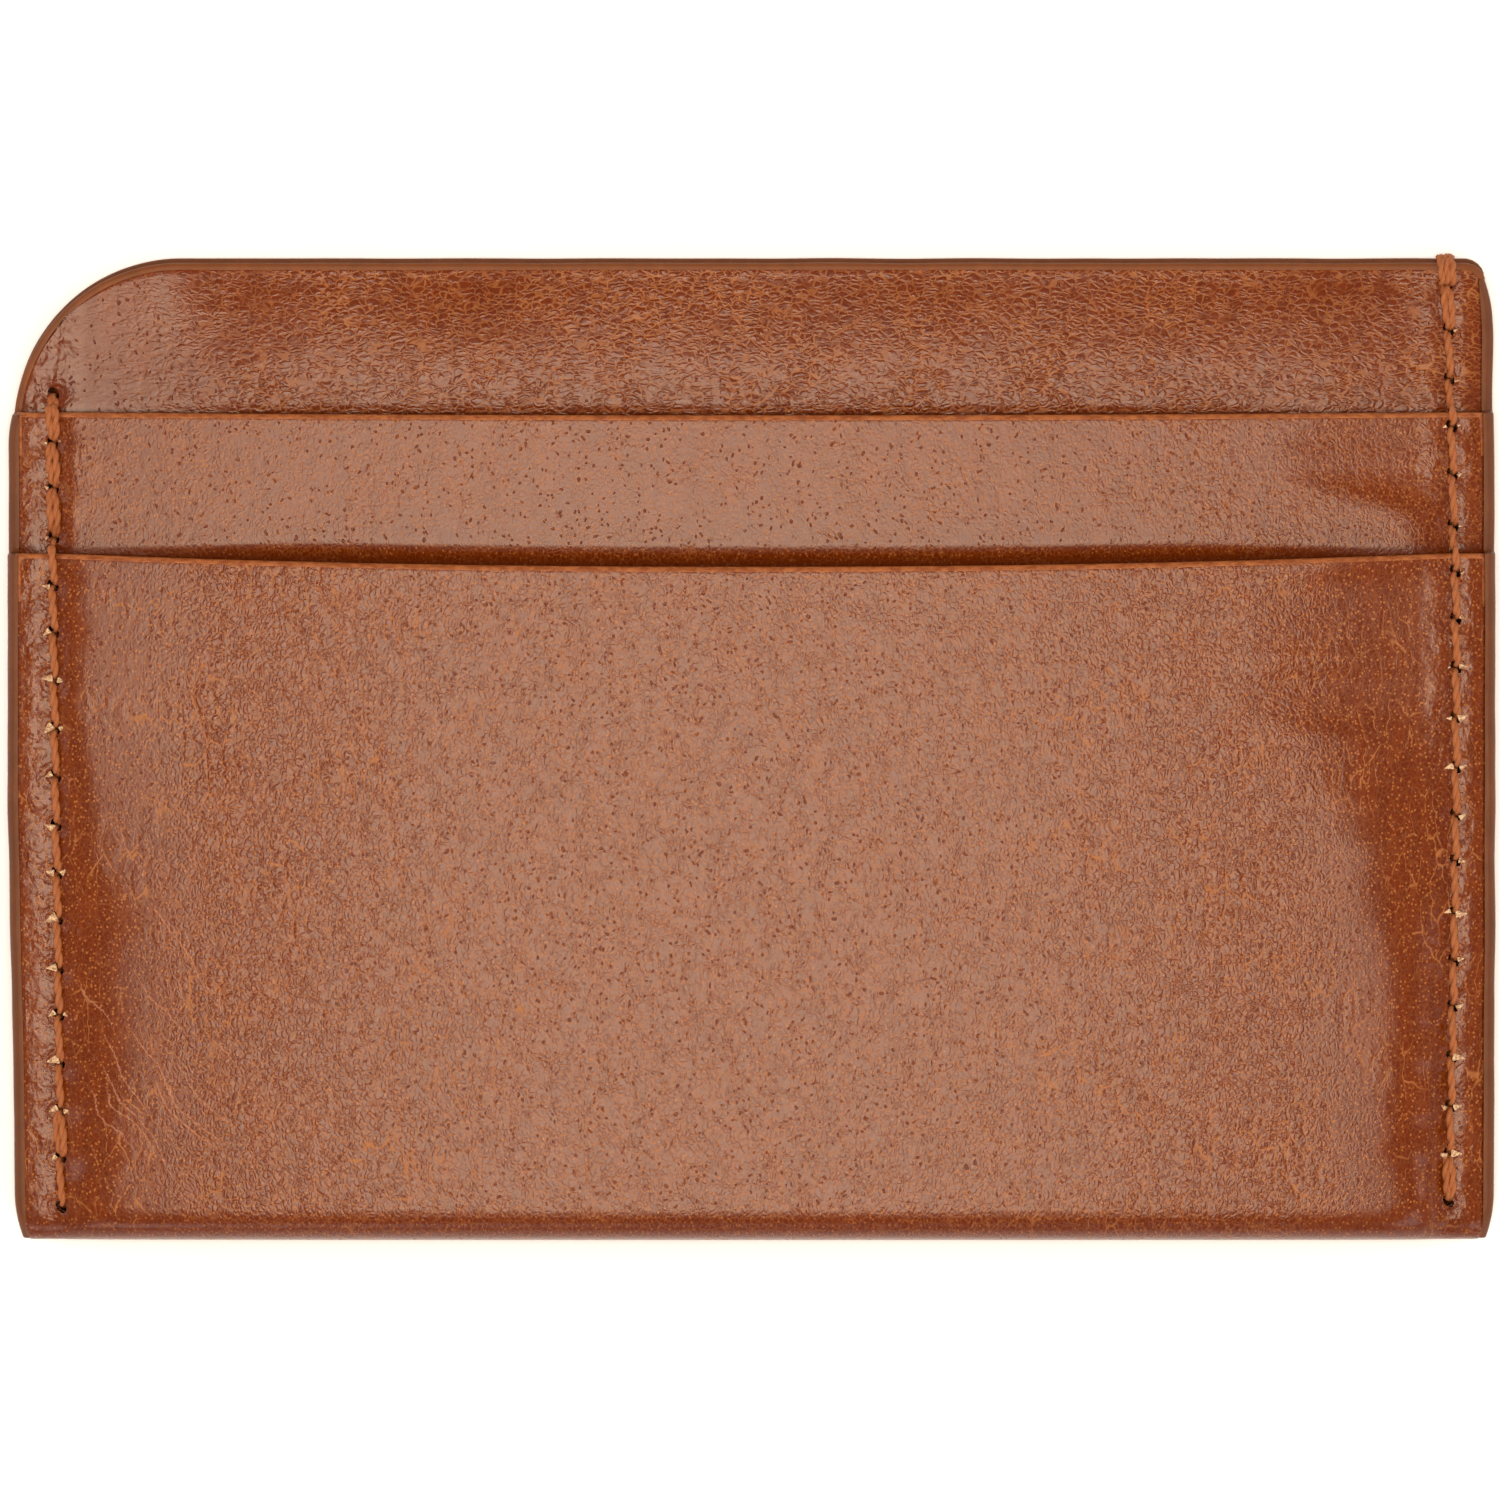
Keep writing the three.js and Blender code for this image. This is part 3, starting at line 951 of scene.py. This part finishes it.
threadPiece("left_seam_stitching", seamPaths(seams["left"], (0, 1, 2, 15)), "left_seam_thread")
rightTop = seamX(seams["right"], seams["right"]["top"])
wraps = [overTheTop(rightTop + a, rightTop + b) for a, b in wrap["strands"]]
threadPiece("right_seam_stitching", seamPaths(seams["right"], (0, 18)) + wraps, "right_seam_thread")


fibreLook = {
    "long": 0.75, "half": 0.3, "tip": 0.02, "flat": 0.4, "tilt": math.radians(80),
    "off": 0.5, "lift": 0.05, "scatter": 0.12, "turn": 0.8,
    "outward": (0.55, 1.2), "inward": (-0.5, 0.9), "least": 0.2,
    "fewAbove": 40.0, "fewShare": 0.4,
}


def tornFibres():
    # slivers of raw leather that the awl pushed up beside the holes
    look = fibreLook
    bm = bmesh.new()
    drawn = random.Random(31)
    for seam in seams.values():
        for h in seam["stops"][:-1]:
            for side in (seam["side"], -seam["side"]):
                size = drawn.uniform(*look["outward" if side == seam["side"] else "inward"])
                size *= mix(1.0, look["fewShare"], smooth((h - look["fewAbove"]) / 8))
                if size < look["least"]:
                    continue
                made = bmesh.ops.create_cone(
                    bm, cap_ends=True, segments=6, radius1=look["half"] * mm * size,
                    radius2=look["tip"] * mm, depth=look["long"] * mm * size,
                )["verts"]
                turned(bm, made, side * look["tilt"], "Y")
                bmesh.ops.scale(bm, vec=(1, 1, look["flat"]), verts=made)
                turned(bm, made, drawn.uniform(-look["turn"], look["turn"]), "Z")
                x = seamX(seam, h) + side * look["off"]
                up = h + drawn.uniform(-look["scatter"], look["scatter"])
                bmesh.ops.translate(bm, vec=spot(x, up, onLeather(x, up) + look["lift"]), verts=made)
    bmesh.ops.recalc_face_normals(bm, faces=bm.faces)
    return finishPiece(bm, "torn_leather_fibres", [finishes["fibre"]], [])


tornFibres()

# The paint starts inside the leather by the overlap, and its beads stand proud of the cut edges.
paintLook = {
    "overlap": 0.16, "start": 0.03,
    "side": 0.62, "sideFrom": 0.1, "sideLumps": 0.05,
    "sideThin": 0.45,  # it thins out at the fold, and at its top end
    "topThin": 0.38, "topOver": 2.6,
    "rim": 0.31, "rimLumps": 0.04,
}


def bead(u):
    return 0.25 + 0.75 * math.sqrt(max(0.0, 1 - (2 * u - 1) ** 4))


def sidePaint(side, top):
    look = paintLook

    def place(u, v, outer):
        h = mix(look["sideFrom"], top, v)
        rounded = clamp((2 - h) / 2) ** 2
        z = mix(0.06 + 1.6 * rounded, topFace(side * 50, h) - 0.04 - 1.2 * rounded, u)
        x = edgeX(side, h) - look["overlap"]
        if outer:
            x += look["overlap"] + look["start"]
            x -= look["sideThin"] * clamp((outline["foldTuckBelow"] - h) / outline["foldTuckBelow"]) ** 1.7
            x -= look["topThin"] * clamp((h - top + look["topOver"]) / look["topOver"]) ** 2
            x += look["side"] * bead(u) + look["sideLumps"] * wobble(0, h, 4.0, 5)
        return spot(side * x, h, z)

    bm, rim = slab(14, 260, place)
    roundRim(bm, rim, 0.1, 2)
    return bm


def paintPiece(bm, name, look, node):
    return finishPiece(bm, name, [finishes[look]], [node])


paintPiece(sidePaint(-1, 57.3), "left_side_edge_paint", "paint", "left_edge_paint")
paintPiece(sidePaint(1, 66.4), "right_side_edge_paint", "paint", "right_edge_paint")


def topPaint(face, underside, leatherTop):
    # round the big corner, along the top and into the small corner, as one run
    leftX, rightX = edgeX(-1, 56), edgeX(1, 66)
    left, right = outline["corner"], outline["topCorner"]
    straight = leftX + rightX - left - right
    leftArc, rightArc = left * math.pi / 2, right * math.pi / 2

    def place(u, v, outer):
        run = v * (leftArc + straight + 0.85 * rightArc)
        if run < leftArc:
            turn = math.pi - run / left
            centre, radius = Vector((left - leftX, leatherTop - left)), left
        elif run < leftArc + straight:
            turn = math.pi / 2
            centre, radius = Vector((left - leftX + run - leftArc, leatherTop - left)), left
        else:
            turn = math.pi / 2 - (run - leftArc - straight) / right
            centre, radius = Vector((rightX - right, leatherTop - right)), right
        normal = Vector((math.cos(turn), math.sin(turn)))
        at = centre + normal * radius
        z = mix(underside(at.x, at.y), face(at.x, at.y), u)
        lift = -paintLook["overlap"]
        if outer:
            lumps = paintLook["rimLumps"] * wobble(run, 0, 5.0, 8)
            lift = paintLook["start"] + paintLook["rim"] * bead(u) + lumps
        at += normal * lift
        return spot(at.x, at.y, z)

    bm, rim = slab(8, 320, place)
    roundRim(bm, rim, 0.06, 2)
    return bm


innerRim = topPaint(innerFace, innerUnderside, outline["innerTop"])
# the inner panel's rim takes the lighter painted-light copy of the edge paint
paintPiece(innerRim, "inner_panel_rim_paint", "litRimPaint", "inner_panel_edge_paint")
backRim = topPaint(lambda x, h: stack["leather"], lambda x, h: 0.0, outline["backTop"])
paintPiece(backRim, "back_rim_paint", "paint", "back_edge_paint")

floorSeam = {"holes": 20, "half": 38.0, "row": 10.6, "spare": 0.03}


def floorPaths():
    count, half, row = (floorSeam[k] for k in ("holes", "half", "row"))
    xs = [mix(-half, half, i / (count - 1)) for i in range(count)]
    paths = []
    room = standOut + floorSeam["spare"]

    # the seam runs across, so its places go in the other way round
    def above(h, x):
        return min(middleFace(x, h), frontFace(x, h) - stack["leather"] - room)

    def below(h, x):
        return max(innerUnderside(x, h), stack["leather"] + room)

    for a, b in zip(xs, xs[1:]):
        for base, up in ((above, 1), (below, -1)):
            path = stitch((row, a), (row, b), base, up)
            paths.append([Vector((p.y, p.x, p.z)) for p in path])
    return paths


threadPiece("pocket_floor_stitching", floorPaths(), "pocket_floor_thread")


def makeFloor():
    bm = bmesh.new()
    bmesh.ops.create_grid(bm, x_segments=1, y_segments=1, size=2.0)
    mesh = bpy.data.meshes.new("table")
    bm.to_mesh(mesh)
    bm.free()
    floor = bpy.data.objects.new("table", mesh)
    floor.location.z = -0.02 * mm
    bpy.context.collection.objects.link(floor)
    f = Finish("white_table")
    cloudy = f.noise(f.object(), 0.02, 2.0)
    white = f.blend(cloudy, (0.96, 0.96, 0.96, 1), (0.98, 0.98, 0.98, 1))
    mesh.materials.append(f.shade(Base_Color=white, Roughness=0.9))


def softbox(name, place, size, radiance, colour=(1, 1, 1)):
    light = bpy.data.lights.new(name, "AREA")
    light.shape = "RECTANGLE"
    light.size, light.size_y = size
    light.energy = radiance * math.pi * size[0] * size[1]
    light.color = colour
    lamp = bpy.data.objects.new(name, light)
    lamp.location = place
    lamp.rotation_euler = (-Vector(place)).to_track_quat("-Z", "Y").to_euler()
    lamp.visible_camera = False
    bpy.context.collection.objects.link(lamp)


studio = {
    "warm": (1.0, 0.81, 0.61),
    "place": (-0.01, -0.03, 0.95),
    # nested softboxes, each width, depth and brightness, so that the light falls off softly round its edge
    "overhead": [
        (0.27, 0.23, 5.4), (0.32, 0.27, 4.2), (0.37, 0.31, 4.0), (0.43, 0.36, 3.5), (0.5, 0.42, 2.6),
    ],
    "sides": {"sideA": 20, "sideB": 160, "sideC": 250, "sideD": 310},  # degrees round from X
    "side": 3.0,
    "sideOut": 0.9,
    "sideUp": 0.42,
    "sideSize": (0.6, 0.4),
    "sky": 0.5,
}


def makeLights():
    for i, (wide, deep, radiance) in enumerate(studio["overhead"]):
        place = Vector(studio["place"]) * (1 + 0.008 * i)
        softbox(f"overhead{i}", place, (wide, deep), radiance, studio["warm"])
    for name, angle in studio["sides"].items():
        a = math.radians(angle)
        place = (studio["sideOut"] * math.cos(a), studio["sideOut"] * math.sin(a), studio["sideUp"])
        softbox(name, place, studio["sideSize"], studio["side"])
    world = bpy.data.worlds.new("studio")
    world.use_nodes = True
    world.node_tree.nodes["Background"].inputs[0].default_value = (1, 1, 1, 1)
    world.node_tree.nodes["Background"].inputs[1].default_value = studio["sky"]
    bpy.context.scene.world = world


shot = {"distance": 0.62, "width": 103.15, "plane": 4.5}


def makeCamera():
    data = bpy.data.cameras.new("camera")
    data.sensor_width = 36
    data.lens = 36 * (shot["distance"] - shot["plane"] * mm) / (shot["width"] * mm)
    camera = bpy.data.objects.new("camera", data)
    camera.location = (0, -0.1 * mm, shot["distance"])
    bpy.context.collection.objects.link(camera)
    bpy.context.scene.camera = camera


makeFloor()
makeLights()
makeCamera()
bpy.context.scene.view_settings.view_transform = "Standard"
print("studio ready")
